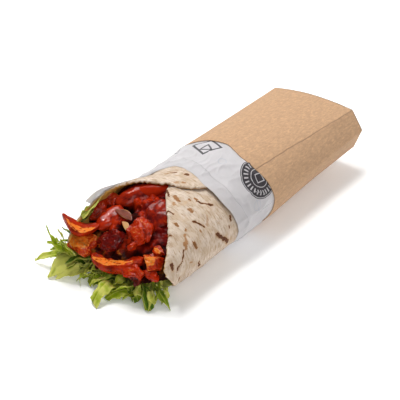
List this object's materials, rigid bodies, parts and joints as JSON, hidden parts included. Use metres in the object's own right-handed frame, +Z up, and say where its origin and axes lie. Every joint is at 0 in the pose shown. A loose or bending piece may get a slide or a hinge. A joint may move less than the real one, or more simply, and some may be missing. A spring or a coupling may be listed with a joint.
{
  "type": "chicken wrap",
  "caption": "Flour tortilla wrap with a heap of saucy chicken and shredded lettuce at its open end, in thin paper and a brown card sleeve.",
  "frame": {"origin": "middle of the whole wrap's underside, on the surface it lies on", "axes": "+Y along the roll towards the shut end of the card sleeve, -Y out of the open end, +Z up, +X to the right seen from the open end"},
  "size_m": [0.1006, 0.234, 0.0526],
  "materials": {
    "kraft_card": "matt brown uncoated card",
    "wrapping_paper": "thin waxed white paper",
    "flour_tortilla": "soft matt flour tortilla with brown griddle marks",
    "chicken": "glossy red sauce over cooked chicken",
    "sauced_filling": "glossy dark red sauce",
    "onion": "moist translucent slice",
    "lettuce": "crisp shredded leaf, satin"
  },
  "bodies": {
    "root": {"card_sleeve": "kraft_card", "paper_liner": "wrapping_paper", "tortilla": "flour_tortilla", "chicken_filling": "sauced_filling", "lettuce": "lettuce", "chicken_01": "chicken", "chicken_02": "chicken", "chicken_03": "chicken", "chicken_04": "chicken", "chicken_05": "chicken", "chicken_06": "chicken", "chicken_07": "chicken", "chicken_08": "chicken", "chicken_09": "chicken", "chicken_10": "chicken", "chicken_11": "chicken", "chicken_12": "chicken", "chicken_13": "chicken", "chicken_14": "chicken", "chicken_15": "chicken", "onion_01": "onion", "onion_02": "onion"}
  },
  "joints": []
}
